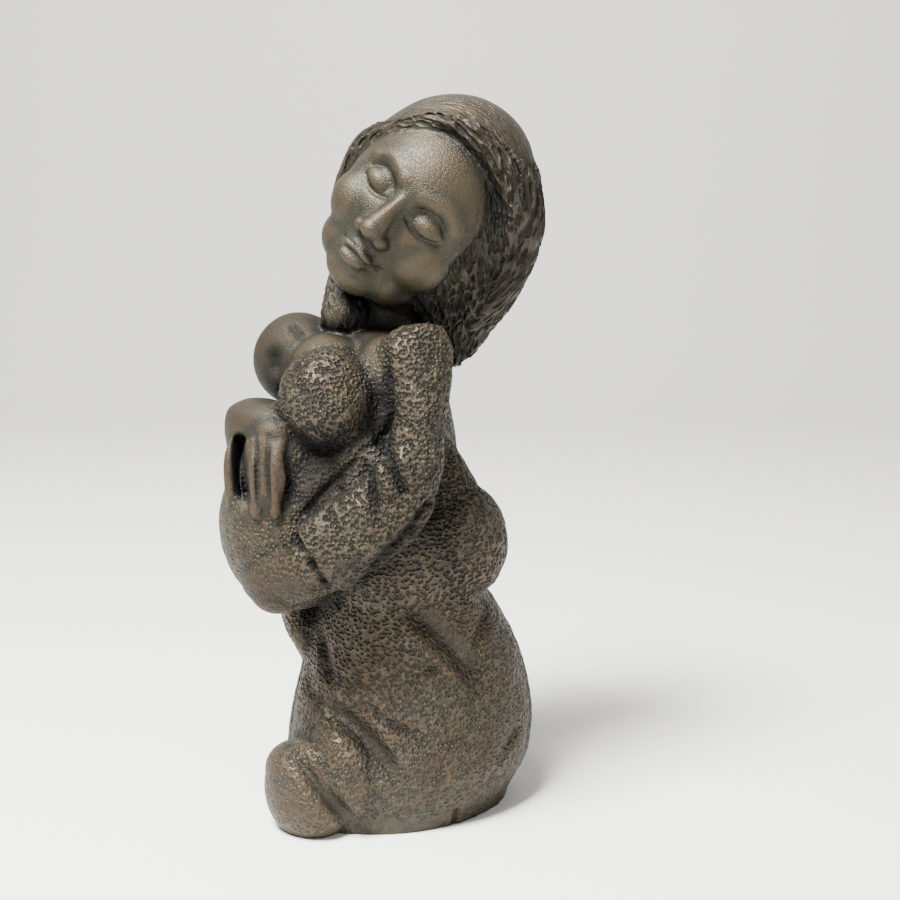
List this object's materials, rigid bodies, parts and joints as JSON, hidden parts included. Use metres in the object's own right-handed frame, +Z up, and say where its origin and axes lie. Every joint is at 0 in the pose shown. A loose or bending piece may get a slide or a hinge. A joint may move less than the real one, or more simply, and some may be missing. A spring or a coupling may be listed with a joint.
{
  "type": "pregnant woman sculpture",
  "caption": "Small cast bronze figure of a standing pregnant woman, head tipped to one shoulder, both hands on her belly, long skirt that spreads to a flat base.",
  "frame": {"origin": "middle of the flat underside, on the surface it stands on, under the waist", "axes": "+Z up the figure, -Y the way her body faces, +X to her left"},
  "size_m": [0.0945, 0.1138, 0.2497],
  "materials": {
    "figure bronze": "dark brown patina, satin, worn to copper on the high spots"
  },
  "bodies": {
    "root": {"figure": "figure bronze"}
  },
  "joints": []
}
